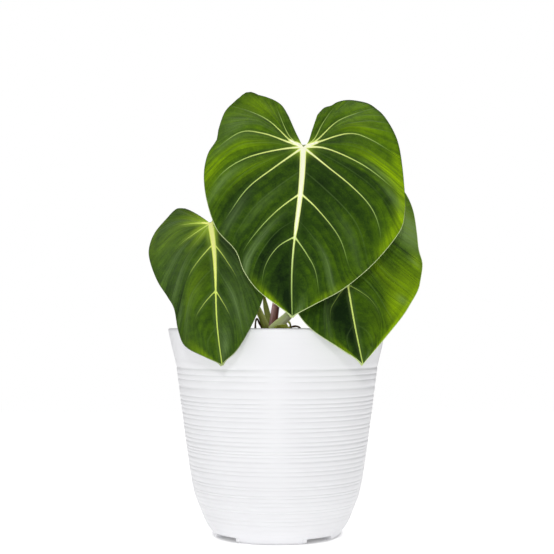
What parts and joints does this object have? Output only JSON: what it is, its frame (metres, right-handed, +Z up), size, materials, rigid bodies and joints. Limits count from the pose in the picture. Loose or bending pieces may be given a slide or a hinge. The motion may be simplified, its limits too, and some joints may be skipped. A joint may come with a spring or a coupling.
{
  "type": "potted philodendron gloriosum",
  "caption": "Potted Philodendron gloriosum with heart-shaped, pale-veined leaves on slender stalks, rising from a creeping stem in a white ribbed pot.",
  "frame": {"origin": "centre of the pot's flat underside, on the pot's axis", "axes": "+Z up along the pot's axis, -Y towards the side that the leaves face, +X to the right seen from that side"},
  "size_m": [0.1925, 0.1708, 0.317],
  "materials": {
    "pot_plastic": "satin",
    "potting_mix": "matte",
    "rhizome": "satin",
    "cataphyll": "satin",
    "stalk_red": "satin",
    "stalk_green": "satin",
    "stalk_pale": "satin",
    "leaf": "satin"
  },
  "bodies": {
    "root": {"pot": "pot_plastic", "soil": "potting_mix", "rhizome": "rhizome", "cataphyll": "cataphyll", "petiole_front": "stalk_red", "petiole_left": "stalk_green", "petiole_right": "stalk_pale", "blade_front": "leaf", "blade_left": "leaf", "blade_right": "leaf"}
  },
  "joints": []
}
